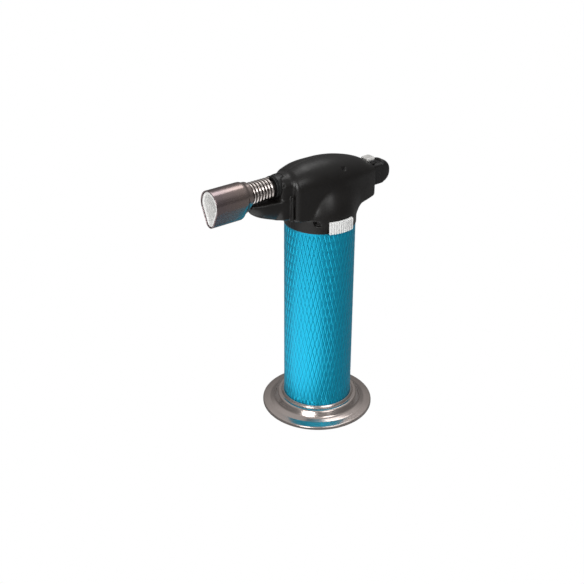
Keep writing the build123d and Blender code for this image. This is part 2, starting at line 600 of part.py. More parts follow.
with BuildPart() as head:
    add(head_form(0))
    add(head_form(SHELL_WALL), mode=Mode.SUBTRACT)
    tube(0, COLLAR_R - SHELL_WALL, COLLAR_LOW - 1, COLLAR_LOW + SHELL_WALL + 1, mode=Mode.SUBTRACT)
    tube(TANK_OUT - 1.4, TANK_OUT, TANK_TOP + RUN, COLLAR_LOW + 0.6)
    tube(TANK_OUT - 0.8, COLLAR_R - 0.5, COLLAR_LOW, COLLAR_LOW + 0.6)
    add(inside_fittings.part)
    sleeve_along_x(0, BUSHING_R + SLIP, BUSHING_REAR, BUSHING_FRONT, mode=Mode.SUBTRACT)
    sleeve_along_x(0, TUBE_R + SLIP, 8, BUSHING_FRONT, mode=Mode.SUBTRACT)
    sleeve_along_x(0, HOLE_R, 34, 48, centre_z=ELECTRODE_Z, mode=Mode.SUBTRACT)
    block(27.5, 34.5, -3.4, 3.4, 130.4, CHIN_TOP - 0.6, mode=Mode.SUBTRACT)
    block(-37, SHANK_FRONT + 4.4, -KNOB_HALF - RUN, KNOB_HALF + RUN, KNOB_LOW - RUN, KNOB_HIGH + RUN,
          mode=Mode.SUBTRACT)
    block(LOCK_X0, -26.4, -LOCK_HALF - 0.8, LOCK_HALF + 0.8, ROOF_LOW, ROOF_HIGH)
    block(-37, LOCK_X1 + RUN, -LOCK_HALF - RUN, LOCK_HALF + RUN, ROOF_HIGH, 150, mode=Mode.SUBTRACT)
    with BuildSketch(Plane.XY.offset(130)) as foot_hole:
        with Locations((LOCK_MIDDLE, 0)):
            Circle(LOCK_FOOT_R + 0.2)
    extrude(foot_hole.sketch, amount=12, mode=Mode.SUBTRACT)
    rod_along_y(PIN_R + SLIP, PIN_X, PIN_Z, -PIN_HALF - 0.1, PIN_HALF + 0.1, mode=Mode.SUBTRACT)
    for x, z, reach in SCREWS:
        rod_along_y(SCREW_R + SLIP, x, z, -reach, reach - 2, mode=Mode.SUBTRACT)
        rod_along_y(SCREW_HEAD_R + 0.1, x, z, -25, -reach, mode=Mode.SUBTRACT)

SLOT_HALF = LEVER_ARM_HALF + LEVER_SWING + 1
with BuildPart() as left_cuts:
    wedge_plate(15.0, 21.0, PAD_MIDDLE - SLOT_HALF, PAD_MIDDLE + SLOT_HALF, ARM_LOW - RUN, ARM_HIGH + RUN)
    wedge_plate(COLLAR_R - 1.0, 21.0, NOTCH_START, NOTCH_END, 118.5, COLLAR_TOP - 0.1)
    rod_along_y(1.2, *DIMPLE, 10.2, 16)

with BuildPart() as shell_left:
    add(head.part)
    split(bisect_by=Plane.XZ, keep=Keep.BOTTOM)
    add(left_cuts.part, mode=Mode.SUBTRACT)
shell_left.part.label = "shell_left"
export_step(shell_left.part, "parts/shell_left.step")

with BuildPart() as shell_right:
    add(head.part)
    split(bisect_by=Plane.XZ, keep=Keep.TOP)
shell_right.part.label = "shell_right"
export_step(shell_right.part, "parts/shell_right.step")

with BuildPart() as shell_screws:
    for x, z, reach in SCREWS:
        rod_along_y(SCREW_R, x, z, -reach, reach - 2.2)
        rod_along_y(SCREW_HEAD_R, x, z, -reach - SCREW_HEAD, -reach)
shell_screws.part.label = "shell_screws"
export_step(shell_screws.part, "parts/shell_screws.step")
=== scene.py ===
import math

import bpy
import numpy as np
from mathutils import Matrix, Vector


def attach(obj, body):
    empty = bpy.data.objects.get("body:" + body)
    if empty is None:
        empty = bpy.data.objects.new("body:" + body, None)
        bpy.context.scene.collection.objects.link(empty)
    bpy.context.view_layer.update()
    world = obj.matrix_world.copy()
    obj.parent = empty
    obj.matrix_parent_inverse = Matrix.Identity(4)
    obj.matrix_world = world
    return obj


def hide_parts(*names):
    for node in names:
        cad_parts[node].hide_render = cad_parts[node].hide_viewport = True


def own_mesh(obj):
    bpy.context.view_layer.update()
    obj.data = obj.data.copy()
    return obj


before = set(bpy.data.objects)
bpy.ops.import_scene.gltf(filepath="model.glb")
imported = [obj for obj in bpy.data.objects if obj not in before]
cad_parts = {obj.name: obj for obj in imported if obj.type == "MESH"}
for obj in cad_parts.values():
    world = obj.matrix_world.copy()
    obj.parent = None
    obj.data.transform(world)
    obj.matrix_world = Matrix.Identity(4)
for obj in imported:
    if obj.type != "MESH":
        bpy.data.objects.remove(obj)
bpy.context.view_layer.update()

# Lengths below are in millimetres, in the CAD frame, and become metres when a mesh is made.
MM = 0.001
TANK_R = 19.0
SLEEVE_LOW = 4.0
SLEEVE_BORE = 18.47
COLLAR_R = 19.3
COLLAR_LOW = 114.7
HEAD_LOW = 122.0
HOOD_REAR, HOOD_FRONT = -32.4, 23.4
NOSE_FRONT = 30.0
CHIN_FRONT = 46.0
BURNER_Z = 140.8
ELECTRODE_Z = 133.0
PISTON_Z = 133.0
WALL = 1.8
ROOF_LOW, ROOF_HIGH = 138.92, 139.7  # the plate that carries the lock
LOCK_X = -32.4
BUSHING_R = 5.9
GUARD_REAR, GUARD_MOUTH = 46.4, 69
PARTING = 0.03  # each shell stops this far from the plane y 0
STARTS = 50  # helical cuts each way round the sleeve
CUT_SLOPE = math.tan(math.radians(13.5))  # from the tank's axis


# ---- Solids as distance fields: below 0 inside, above 0 outside ----

def smax(a, b, k):
    """The part common to both, with its edges rounded over about k."""
    h = np.maximum(k - np.abs(a - b), 0) / k
    return np.maximum(a, b) + h * h * k / 4


def smin(a, b, k):
    """Both parts joined, with a fillet of about k between them."""
    return -smax(-a, -b, k)


def between(v, low, high):
    """A slab from low to high."""
    return np.maximum(low - v, v - high)


def bar(x, y, z, x0, x1, y0, y1, z0, z1, k=0.4):
    """A box with rounded edges."""
    flat = smax(between(x, x0, x1), between(y, y0, y1), k)
    return smax(flat, between(z, z0, z1), k)


def curve_through(v, knots, values):
    """A smooth curve through the knots, held level beyond its ends."""
    knots = np.asarray(knots, float)
    values = np.asarray(values, float)
    slopes = np.gradient(values, knots)
    v = np.clip(v, knots[0], knots[-1])
    i = np.clip(np.searchsorted(knots, v) - 1, 0, len(knots) - 2)
    span = knots[i + 1] - knots[i]
    t = (v - knots[i]) / span
    start = (1 + 2 * t) * (1 - t) ** 2 * values[i] + t * (1 - t) ** 2 * span * slopes[i]
    end = t * t * (3 - 2 * t) * values[i + 1] - t * t * (1 - t) * span * slopes[i + 1]
    return start + end


def surface(field, low, high, pitch):
    """Vertices and quads of the surface where field is 0, on a grid, then drawn onto the surface."""
    axes = [np.arange(a - 2 * pitch, b + 3 * pitch, pitch) for a, b in zip(low, high)]
    value = field(*np.meshgrid(*axes, indexing="ij", sparse=True))
    value = np.broadcast_to(value, [len(a) for a in axes])
    inside = value < 0
    cells = tuple(n - 1 for n in value.shape)
    count = np.zeros(cells)
    total = np.zeros((3, *cells))
    crossings = []
    for a in range(3):
        b, c = (a + 1) % 3, (a + 2) % 3
        near, far = [slice(None)] * 3, [slice(None)] * 3
        near[a], far[a] = slice(None, -1), slice(1, None)
        f0, f1 = value[tuple(near)], value[tuple(far)]
        crossing = inside[tuple(near)] != inside[tuple(far)]
        t = np.where(crossing, f0 / np.where(crossing, f0 - f1, 1), 0)
        crossings.append((crossing, inside[tuple(near)]))
        place = np.indices(crossing.shape).astype(float)
        place[a] += t
        for db in (0, 1):
            for dc in (0, 1):
                pick = [slice(None)] * 3
                pick[b] = slice(db, db + cells[b])
                pick[c] = slice(dc, dc + cells[c])
                hit = crossing[tuple(pick)]
                count += hit
                total += place[(slice(None), *pick)] * hit
    used = count > 0
    number = np.full(cells, -1)
    number[used] = np.arange(used.sum())
    points = (total[:, used] / count[used]).T * pitch + np.array([a[0] for a in axes])
    quads = []
    for a, (crossing, starts_inside) in enumerate(crossings):
        b, c = (a + 1) % 3, (a + 2) % 3
        spots = np.argwhere(crossing)
        corners = []
        for db, dc in ((-1, -1), (0, -1), (0, 0), (-1, 0)):
            cell = spots.copy()
            cell[:, b] += db
            cell[:, c] += dc
            corners.append(number[tuple(cell.T)])
        quad = np.stack(corners, 1)
        turned = ~starts_inside[crossing]
        quad[turned] = quad[turned][:, ::-1]
        quads.append(quad)
    return drawn_onto(points, field, pitch), np.concatenate(quads)


def drawn_onto(points, field, pitch):
    """Points moved onto the field's surface, by no more than half a cell."""
    start = points.copy()
    step = pitch * 0.1
    for _ in range(3):
        here = field(*points.T)
        slope = np.stack([
            (field(*(points + d).T) - field(*(points - d).T)) / (2 * step) for d in np.eye(3) * step], 1)
        points = points - (here / np.maximum((slope ** 2).sum(1), 0.2))[:, None] * slope
        points = start + np.clip(points - start, -pitch / 2, pitch / 2)
    return points


# ---- Meshes ----

def piece(name, points, faces, body, material, stands_for, slot, smooth_angle=None):
    """A mesh in metres from points in millimetres, riding on a body in place of CAD nodes."""
    mesh = bpy.data.meshes.new(name)
    faces = [[int(i) for i in face] for face in faces]
    mesh.from_pydata((np.asarray(points) * MM).tolist(), [], faces)
    mesh.validate()
    mesh.update()
    mesh.shade_smooth()
    thing = bpy.data.objects.new(name, mesh)
    bpy.context.scene.collection.objects.link(thing)
    if smooth_angle is not None:
        mesh.set_sharp_from_angle(angle=math.radians(smooth_angle))
    mesh.materials.append(material)
    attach(thing, body)
    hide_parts(*stands_for)
    return thing


def rings_to_faces(rings, around, close_ends):
    """Quads between consecutive rings; the last joins the first when the ends close."""
    faces = []
    last = rings if close_ends else rings - 1
    for i in range(last):
        a, b = i * around, (i + 1) % rings * around
        for j in range(around):
            k = (j + 1) % around
            faces.append((a + j, a + k, b + k, b + j))
    return faces


def rounded(corners, steps):
    """An outline through corners (u, v, radius), with each corner turned on an arc of that radius."""
    outline = []
    count = len(corners)
    for i, (u, v, radius) in enumerate(corners):
        here = np.array([u, v])
        back = np.array(corners[i - 1][:2]) - here
        ahead = np.array(corners[(i + 1) % count][:2]) - here
        if radius == 0:
            outline.append(here)
            continue
        back, ahead = back / np.linalg.norm(back), ahead / np.linalg.norm(ahead)
        half = math.acos(np.clip(back @ ahead, -1, 1)) / 2
        reach = radius / math.tan(half)
        centre = here + (back + ahead) / np.linalg.norm(back + ahead) * radius / math.sin(half)
        first, final = here + back * reach - centre, here + ahead * reach - centre
        turn = math.atan2(first[0] * final[1] - first[1] * final[0], first @ final)
        for n in range(steps + 1):
            angle = turn * n / steps
            c, s = math.cos(angle), math.sin(angle)
            outline.append(centre + [first[0] * c - first[1] * s, first[0] * s + first[1] * c])
    return np.array(outline)


def lathe(outline, segments, along_x_at=None):
    """A closed outline of (radius, place along the axis) turned about Z, or about X at a height."""
    angles = np.linspace(0, 2 * math.pi, segments, endpoint=False)
    points = []
    for radius, along in outline:
        across, up = radius * np.cos(angles), radius * np.sin(angles)
        level = np.full(segments, along)
        if along_x_at is None:
            points.append(np.stack([across, up, level], 1))
        else:
            points.append(np.stack([level, across, up + along_x_at], 1))
    return np.concatenate(points), rings_to_faces(len(outline), segments, True)


# ---- Materials ----

class Paint:
    """A node material with a Principled shader, worked in the object's own coordinates."""

    def __init__(self, name, colour, roughness, metallic=0.0, **sockets):
        self.material = bpy.data.materials.new(name)
        self.material.use_nodes = True
        self.tree = self.material.node_tree
        self.shader = self.tree.nodes["Principled BSDF"]
        self.shader.inputs["Base Color"].default_value = (*colour, 1)
        self.shader.inputs["Roughness"].default_value = roughness
        self.shader.inputs["Metallic"].default_value = metallic
        for socket, value in sockets.items():
            self.shader.inputs[socket.replace("_", " ")].default_value = value
        self.place = self.add("ShaderNodeTexCoord").outputs["Object"]

    def add(self, kind, **settings):
        node = self.tree.nodes.new(kind)
        for setting, value in settings.items():
            setattr(node, setting, value)
        return node

    def link(self, source, socket):
        self.tree.links.new(source, socket)

    def maths(self, operation, *values):
        """A Math node on values that are numbers or other nodes' outputs."""
        node = self.add("ShaderNodeMath", operation=operation)
        for socket, value in zip(node.inputs, values):
            if isinstance(value, (int, float)):
                socket.default_value = value
            else:
                self.link(value, socket)
        return node.outputs["Value"]

    def stretched(self, scale):
        """The coordinates, scaled along each axis."""
        mapping = self.add("ShaderNodeMapping")
        mapping.inputs["Scale"].default_value = scale
        self.link(self.place, mapping.inputs["Vector"])
        return mapping.outputs["Vector"]

    def noise(self, size, detail, stretch=(1, 1, 1)):
        """Noise whose blotches are about size millimetres across."""
        node = self.add("ShaderNodeTexNoise")
        node.inputs["Scale"].default_value = 1 / (size * MM)
        node.inputs["Detail"].default_value = detail
        self.link(self.stretched(stretch), node.inputs["Vector"])
        return node.outputs["Fac"]

    def spread(self, source, low, high, inlow=0.3, inhigh=0.7):
        """A factor brought from inlow..inhigh to low..high."""
        node = self.add("ShaderNodeMapRange")
        for socket, value in zip(("From Min", "From Max", "To Min", "To Max"), (inlow, inhigh, low, high)):
            node.inputs[socket].default_value = value
        self.link(source, node.inputs["Value"])
        return node.outputs["Result"]

    def ramp(self, source, *stops):
        """Colours at stops along a factor."""
        node = self.add("ShaderNodeValToRGB")
        while len(node.color_ramp.elements) < len(stops):
            node.color_ramp.elements.new(0.5)
        for element, (at, colour) in zip(node.color_ramp.elements, stops):
            element.position = at
            element.color = (*colour, 1)
        self.link(source, node.inputs["Fac"])
        return node.outputs["Color"]

    def colour(self, source):
        self.link(source, self.shader.inputs["Base Color"])
        return self

    def rough(self, source):
        self.link(source, self.shader.inputs["Roughness"])
        return self

    def bump(self, source, height):
        """Relief of about height millimetres."""
        node = self.add("ShaderNodeBump")
        node.inputs["Strength"].default_value = 1.0
        node.inputs["Distance"].default_value = height * MM
        self.link(source, node.inputs["Height"])
        self.link(node.outputs["Normal"], self.shader.inputs["Normal"])
        return self


def shade(colour, factor):
    """A colour made darker or lighter."""
    return tuple(c * factor for c in colour)


def moulded(name, colour, roughness, variation=0.12, grain=0.25, relief=0.006, **sockets):
    """Moulded plastic or rubber: slight flow marks, a fine skin and uneven gloss."""
    paint = Paint(name, colour, roughness, **sockets)
    dark, light = shade(colour, 1 - variation), shade(colour, 1 + variation)
    paint.colour(paint.ramp(paint.noise(14, 2), (0.3, dark), (0.7, light)))
    paint.rough(paint.spread(paint.noise(5, 4), roughness - 0.05, roughness + 0.07))
    paint.bump(paint.noise(grain, 2), relief)
    return paint.material


def metal(name, colour, roughness, scratch=(1, 1, 1), variation=0.1):
    """Bare metal: tone and gloss vary, with fine scratches along the axis that is scaled least."""
    paint = Paint(name, colour, roughness, 1.0)
    dark, light = shade(colour, 1 - variation), shade(colour, 1 + variation)
    paint.colour(paint.ramp(paint.noise(9, 3), (0.3, dark), (0.7, light)))
    fine = paint.noise(0.6, 4, scratch)
    paint.rough(paint.spread(fine, roughness - 0.05, roughness + 0.08))
    paint.bump(fine, 0.002)
    return paint.material


def blue_anodised():
    """Cyan anodised aluminium, with painted shade in the helical cuts and a painted highlight along their
    edges.
    """
    paint = Paint("blue_anodised", (0.004, 0.33, 0.55), 0.3, 0.8, Coat_Weight=0.1, Coat_Roughness=0.25)
    split = paint.add("ShaderNodeSeparateXYZ")
    paint.link(paint.place, split.inputs["Vector"])
    turn = paint.maths("ARCTAN2", split.outputs["Y"], split.outputs["X"])
    above = paint.maths("SUBTRACT", split.outputs["Z"], SLEEVE_LOW * MM)
    shift = paint.maths("MULTIPLY", above, CUT_SLOPE / (TANK_R * MM))
    cuts = []
    for way in ("ADD", "SUBTRACT"):
        phase = paint.maths("MULTIPLY", paint.maths(way, turn, shift), STARTS / 2)
        cuts.append(paint.maths("ABSOLUTE", paint.maths("SINE", phase)))
    from_cut = paint.maths("MINIMUM", *cuts)
    stirred = paint.maths("MULTIPLY_ADD", paint.noise(2.5, 2, (1, 1, 0.25)), 0.12, from_cut)
    # The ramp paints shade into the cuts and a highlight on the bands beside them.
    paint.colour(paint.ramp(
        stirred, (0.06, (0.0, 0.25, 0.43)), (0.2, (0.0, 0.32, 0.53)), (0.42, (0.01, 0.56, 0.8)),
        (0.75, (0.006, 0.43, 0.67)), (1.0, (0.005, 0.4, 0.64))))
    paint.rough(paint.spread(paint.noise(0.7, 3), 0.32, 0.42))
    paint.bump(paint.noise(0.3, 3), 0.006)
    return paint.material


def tinted_steel():
    """Polished steel browned by the flame, darker towards the mouth."""
    paint = Paint("tinted_steel", (0.36, 0.29, 0.27), 0.2, 1.0)
    split = paint.add("ShaderNodeSeparateXYZ")
    paint.link(paint.place, split.inputs["Vector"])
    along = paint.spread(split.outputs["X"], 0, 1, (GUARD_REAR + 1.1) * MM, GUARD_MOUTH * MM)
    stirred = paint.maths("MULTIPLY_ADD", paint.noise(6, 4), 0.35, along)
    paint.colour(paint.ramp(
        stirred, (0.0, (0.42, 0.36, 0.34)), (0.45, (0.33, 0.26, 0.24)), (0.85, (0.29, 0.23, 0.225)),
        (1.0, (0.27, 0.215, 0.22))))
    brushed = paint.noise(0.5, 4, (0.06, 1, 1))
    paint.rough(paint.spread(brushed, 0.14, 0.3))
    paint.bump(brushed, 0.004)
    return paint.material


def ceramic():
    """Fired white ceramic, slightly stained."""
    paint = Paint("white_ceramic", (0.88, 0.88, 0.87), 0.55)
    paint.colour(paint.ramp(paint.noise(4, 4), (0.3, (0.93, 0.93, 0.92)), (0.75, (0.8, 0.79, 0.77))))
    paint.rough(paint.spread(paint.noise(1, 3), 0.5, 0.7))
    paint.bump(paint.noise(0.35, 3), 0.003)
    return paint.material


def milky():
    """Translucent white plastic."""
    paint = Paint("milky_plastic", (0.6, 0.59, 0.57), 0.3)
    paint.colour(paint.ramp(paint.noise(3, 2), (0.3, (0.55, 0.54, 0.52)), (0.7, (0.68, 0.67, 0.65))))
    paint.rough(paint.spread(paint.noise(2, 3), 0.26, 0.38))
    paint.bump(paint.noise(0.3, 2), 0.005)
    return paint.material


BLACK = moulded("satin_black", (0.008, 0.007, 0.0065), 0.33, Specular_IOR_Level=0.38)
BLACK_TRIGGER = moulded("trigger_black", (0.008, 0.0075, 0.0075), 0.3)
BLACK_BUSHING = moulded("bushing_black", (0.007, 0.007, 0.007), 0.42)
WHITE = moulded("white_plastic", (0.84, 0.84, 0.83), 0.35, variation=0.04)
MILKY = milky()
BLUE = blue_anodised()
BASE_METAL = metal("polished_base", (0.56, 0.49, 0.46), 0.19, variation=0.06)
GUARD_METAL = tinted_steel()
COIL_METAL = metal("bright_wire", (0.66, 0.6, 0.57), 0.2)
SOOTED = metal("heat_darkened_steel", (0.1, 0.085, 0.08), 0.35)
STEEL = metal("plain_steel", (0.55, 0.55, 0.56), 0.28)
SPRING = metal("spring_steel", (0.6, 0.6, 0.6), 0.25)
BRASS = metal("turned_brass", (0.74, 0.55, 0.27), 0.25)
TANK_METAL = metal("drawn_aluminium", (0.72, 0.73, 0.74), 0.3, (1, 1, 0.1))
CERAMIC = ceramic()
RUBBER = moulded("black_rubber", (0.02, 0.02, 0.02), 0.75, grain=0.5, relief=0.02)
GREY = moulded("grey_acetal", (0.3, 0.3, 0.31), 0.5)
PIEZO = moulded("piezo_black", (0.05, 0.055, 0.06), 0.5)
RED = moulded("red_insulation", (0.42, 0.02, 0.02), 0.45)

# The CAD nodes that stay as they are, and what each is made of
KEPT = {
    "base_pad": RUBBER, "base_nut": STEEL, "fuel_tank": TANK_METAL, "tank_cap": TANK_METAL,
    "tank_seal": RUBBER, "refill_valve_body": BRASS, "refill_seal": RUBBER, "refill_stem": BRASS,
    "refill_retainer": BRASS, "valve_body": BRASS, "valve_outlet": BRASS, "valve_plug": BRASS,
    "pickup_tube": GREY, "valve_stem": STEEL, "valve_lever": GREY, "lever_pin": STEEL,
    "piezo_body": PIEZO, "piezo_plunger": GREY, "jet_holder": BRASS, "gas_jet": BRASS,
    "burner_tube": SOOTED, "flame_holder": STEEL, "electrode_insulator": CERAMIC, "electrode": STEEL,
    "ignition_lead": RED, "gas_hose": RUBBER, "shell_screws": STEEL, "heat_coil": COIL_METAL,
}
for node, material in KEPT.items():
    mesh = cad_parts[node].data
    mesh.materials.clear()
    mesh.materials.append(material)


# ---- Head ----

# The hood's half width and crown height along X, and the height where it is widest
CORE_X = [HOOD_REAR, -25.0, -14.0, -4.0, 6.0, 15.0, HOOD_FRONT]
CORE_HALF = [7.2, 9.6, 12.2, 13.1, 13.1, 12.2, 10.5]
CROWN = [140.0, 144.2, 148.0, 149.9, 150.3, 149.6, 146.9]
WAIST_Z = 137.0
# The chin's half width and underside along X
CHIN_X = [22.0, 25.0, 34.0, 42.0, CHIN_FRONT]
CHIN_HALF = [7.6, 7.4, 6.3, 4.5, 2.4]
CHIN_LOW = [121.2, 121.5, 124.1, 127.7, 130.5]
CHIN_TOP = 134.6


def head_outside(x, y, z):
    """The head's outer form: hood, palm swell, collar, nose and chin."""
    side = np.abs(y)
    round_tank = np.hypot(x, y)
    half = curve_through(x, CORE_X, CORE_HALF)
    crown = curve_through(x, CORE_X, CROWN)
    above = np.maximum(z - WAIST_Z, 0)
    square = np.interp(x, [4, 22], [2.0, 2.35])  # the cheeks grow squarer towards the front
    core = half * (((side / half) ** square + (above / (crown - WAIST_Z)) ** square) ** (1 / square) - 1)
    core = smax(core, x - HOOD_FRONT, 3.2)
    core = smax(core, HOOD_REAR - x, 1.9)
    core = smax(core, HEAD_LOW + 0.025 * np.maximum(-8 - x, 0) - z, 1.8)
    rise = np.clip((z - HEAD_LOW) / 15, 0, 1.3)
    swell = round_tank - COLLAR_R + 6.3 * rise ** 1.7
    swell = smax(swell, between(z, HEAD_LOW - 1, 141.0), 0.6)
    collar = np.maximum(round_tank - COLLAR_R, between(z, COLLAR_LOW, HEAD_LOW + 0.4))
    blend = np.interp(x, [-16, -4, 10], [4.6, 3.0, 0.8])  # a sharp crease in front, a soft one behind
    body = smin(core, np.minimum(swell, collar), blend)
    nose_half = 8.2 - 0.12 * np.clip(x - 18, 0, 12)
    above = np.maximum(z - BURNER_Z, 0)
    nose = nose_half * (np.sqrt((side / nose_half) ** 2 + (above / 6.0) ** 2) - 1)
    nose = smax(nose, between(x, 14, NOSE_FRONT), 2.6)
    nose = smax(nose, 123.6 - z, 1.6)
    body = smin(body, nose, 1.0)
    brow_low = np.where(y < 0, 129.6, 122.8)  # on the right it ends above the front screw
    brow = bar(side, x, z, -1, 9.3, HOOD_FRONT + 0.5, 25.3, brow_low, 136.6, 1.0)
    body = smin(body, brow, 0.5)
    half = curve_through(x, CHIN_X, CHIN_HALF)
    depth = CHIN_TOP - curve_through(x, CHIN_X, CHIN_LOW)
    chin = half * (np.sqrt((side / half) ** 2 + (np.maximum(CHIN_TOP - z, 0) / depth) ** 2) - 1)
    chin = smax(chin, z - CHIN_TOP, 1.4)
    chin = smax(chin, between(x, 18, CHIN_FRONT), 2.2)
    return smin(body, chin, 1.6)


def along_y(x, z, at_x, at_z, radius):
    """A round hole or boss along Y."""
    return np.hypot(x - at_x, z - at_z) - radius


# Each screw's x and z, and how far from the middle its head seats
SCREWS = [(-7.5, 144.6, 9.0), (-13.5, 118.7, 9.0), (23.5, 126.4, 6.6)]
SPIGOT_BORE, SPIGOT_R, SPIGOT_LOW = 16.9, 18.3, 110.35
BURNER_HOLE_R = 4.3
ELECTRODE_HOLE_R = 1.05
LOCK_HOLE_R = 1.1


def head_wall(x, y, z):
    """The hollow head with its openings, both halves together."""
    outside = head_outside(x, y, z)
    round_tank = np.hypot(x, y)
    burner = np.hypot(y, z - BURNER_Z)
    hollow = np.minimum(outside + WALL, np.maximum(round_tank - COLLAR_R + WALL, z - 124))
    spigot_height = between(z, SPIGOT_LOW, COLLAR_LOW + 1)
    spigot = smax(between(round_tank, SPIGOT_BORE, SPIGOT_R), spigot_height, 0.4)
    wall = np.minimum(smax(outside, -hollow, 0.5), spigot)
    roof = bar(x, y, z, -35.15, -26.4, -3.6, 3.6, ROOF_LOW, ROOF_HIGH, 0.2)
    wall = np.minimum(wall, roof)
    bushing_seat = np.maximum(burner - BUSHING_R - 0.05, between(x, 26, 40))
    burner_hole = np.maximum(burner - BURNER_HOLE_R, between(x, 8, 40))
    electrode_hole = np.maximum(np.hypot(y, z - ELECTRODE_Z) - ELECTRODE_HOLE_R, between(x, 30, 50))
    trigger_mouth = bar(x, y, z, -40, -20.6, -5.0, 5.0, 126.3, 138.9, 1.6)
    lock_pocket = bar(x, y, z, -40, -29.3, -3.1, 3.1, ROOF_HIGH + 0.02, 160, 0.8)
    lock_hole = np.hypot(x - LOCK_X, y) - LOCK_HOLE_R + 10 * np.maximum(between(z, 137, 141), 0)
    for hole in (bushing_seat, burner_hole, electrode_hole, trigger_mouth, lock_pocket, lock_hole):
        wall = smax(wall, -hole, 0.35)
    return wall


def left_shell(x, y, z):
    """The left half, with the lever's slot, the collar's notch and two dimples."""
    wall = head_wall(x, y, z)
    angle = np.degrees(np.arctan2(y, x))
    round_tank = np.hypot(x, y)
    arc = math.radians(1) * COLLAR_R
    slot = smax(between(angle, 63.9, 107.9) * arc, between(z, 115.3, 117.3), 0.5)
    notch = smax(between(angle + (z - 120) * 1.2, 43, 53) * arc, between(z, 119.2, 121.9), 0.8)
    wall = smax(wall, -np.maximum(slot, between(round_tank, 15, 22)), 0.3)
    wall = smax(wall, -np.maximum(notch, 17.9 - round_tank), 0.3)
    wall = smax(wall, -np.maximum(along_y(x, z, -7.5, 145.2, 1.3), 9.4 - y), 0.6)
    wall = smax(wall, -np.maximum(along_y(x, z, 28.6, 143.0, 0.9), 6.3 - y), 0.4)
    return smax(wall, PARTING - y, 0.3)


def right_shell(x, y, z):
    """The right half, with a boss, a seat and a hole for each screw."""
    wall = head_wall(x, y, z)
    for at_x, at_z, reach in SCREWS:
        wall = np.minimum(wall, smax(along_y(x, z, at_x, at_z, 2.4), between(-y, 3.0, reach + 1.0), 0.3)
                          + np.maximum(head_outside(x, y, z) + 0.5, 0) * 10)
        wall = smax(wall, -np.maximum(along_y(x, z, at_x, at_z, 1.85), y + reach), 0.35)
        wall = smax(wall, -along_y(x, z, at_x, at_z, 1.05), 0.2)
    return smax(wall, PARTING + y, 0.3)


SHELL_PITCH = 0.33
left_mesh = surface(left_shell, (-35, 0, 110), (47, 20, 151), SHELL_PITCH)
piece("left_head_shell", *left_mesh, "torch", BLACK, ["shell_left"], "black_shell")
right_mesh = surface(right_shell, (-35, -20, 110), (47, 0, 151), SHELL_PITCH)
piece("right_head_shell", *right_mesh, "torch", BLACK, ["shell_right"], "black_shell")


# ---- Trigger, lock and flow lever ----

GROOVE_REAR, GROOVE_HALF, GROOVE_LOW = -37.6, 1.5, 135.4
ARM_REAR, ARM_FRONT, ARM_HALF, ARM_UNDER = -29.6, -13.8, 3.6, 125.2
WEDGE_REAR, WEDGE_TIP, WEDGE_SLOPE = -16.6, -9.0, 0.36


def trigger_field(x, y, z):
    """The knob on its stalk, the shank, and the arm down to the wedge that turns the valve lever."""
    half_x, half_z, radius = 8.4, 6.6, 6.2
    qx, qz = np.abs(x + 37.2) - half_x + radius, np.abs(z - PISTON_Z - 0.2) - half_z + radius
    side_view = np.hypot(np.maximum(qx, 0), np.maximum(qz, 0)) + np.minimum(np.maximum(qx, qz), 0) - radius
    thumb = smax(smax(side_view, np.abs(y) - 4.7, 3.4), x + 39.5, 0.8)
    stalk = bar(x, y, z, -40.5, -29.0, -4.6, 4.6, 126.8, 138.6, 1.8)
    knob = smin(thumb, stalk, 0.8)
    groove = bar(x, y, z, GROOVE_REAR, -20, -GROOVE_HALF, GROOVE_HALF, GROOVE_LOW, 150, 0.5)
    knob = smax(knob, -groove, 0.4)
    for rib_x in (-38.4, -37.2, -36.0, -34.8):
        flute = smax(np.abs(x - rib_x) - 0.25, 4.45 - np.abs(y), 0.3)
        knob = smax(knob, -smax(flute, between(z, 128.6, 137.2), 0.3), 0.2)
    shank = bar(x, y, z, -30, -25.0, -4.2, 4.2, 127.4, 137.2)
    shank = smax(shank, -groove, 0.3)
    hanger = bar(x, y, z, ARM_REAR, -25.0, -ARM_HALF, ARM_HALF, ARM_UNDER, 129.5)
    arm = bar(x, y, z, ARM_REAR, ARM_FRONT, -ARM_HALF, ARM_HALF, ARM_UNDER, 128.0)
    wedge = smax(between(x, WEDGE_REAR, WEDGE_TIP), z - 122.0 - WEDGE_SLOPE * (WEDGE_TIP - x), 0.3)
    wedge = smax(smax(wedge, 121.4 - z, 0.3), np.abs(y) - ARM_HALF, 0.3)
    web = bar(x, y, z, WEDGE_REAR, ARM_FRONT, -ARM_HALF, ARM_HALF, 121.4, 127.0)
    whole = knob
    for part in (shank, hanger, arm, wedge, web):
        whole = np.minimum(whole, part)
    return whole


trigger_mesh = surface(trigger_field, (-46.5, -6, 121), (-8, 6, 141), 0.3)
piece("trigger_button", *trigger_mesh, "trigger", BLACK_TRIGGER, ["trigger"], "black_trigger")


def lock_field(x, y, z):
    """A cap with a pocket for its spring, and a round foot that reaches through the roof."""
    from_middle = np.hypot(x - LOCK_X, y)
    cap = bar(x, y, z, LOCK_X - 2.8, LOCK_X + 2.8, -2.8, 2.8, 140.9, 142.7, 0.9)
    pocket = np.maximum(from_middle - 1.9, z - 142.0)
    foot = smax(from_middle - 0.9, between(z, 136.8, 142.2), 0.3)
    return np.minimum(smax(cap, -pocket, 0.2), foot)


lock_mesh = surface(lock_field, (-35.5, -3, 136), (-29, 3, 143), 0.18)
piece("lock_cap", *lock_mesh, "lock_button", MILKY, ["lock_button"], "milky_plastic")

PAD_START, PAD_END = 65.2, 106.5  # degrees round the collar from +X
PAD_INSIDE, PAD_OUTSIDE = 19.62, 21.08
PAD_LOW, PAD_MIDDLE, PAD_HIGH = 114.9, 118.35, 121.8
RIBS = 11


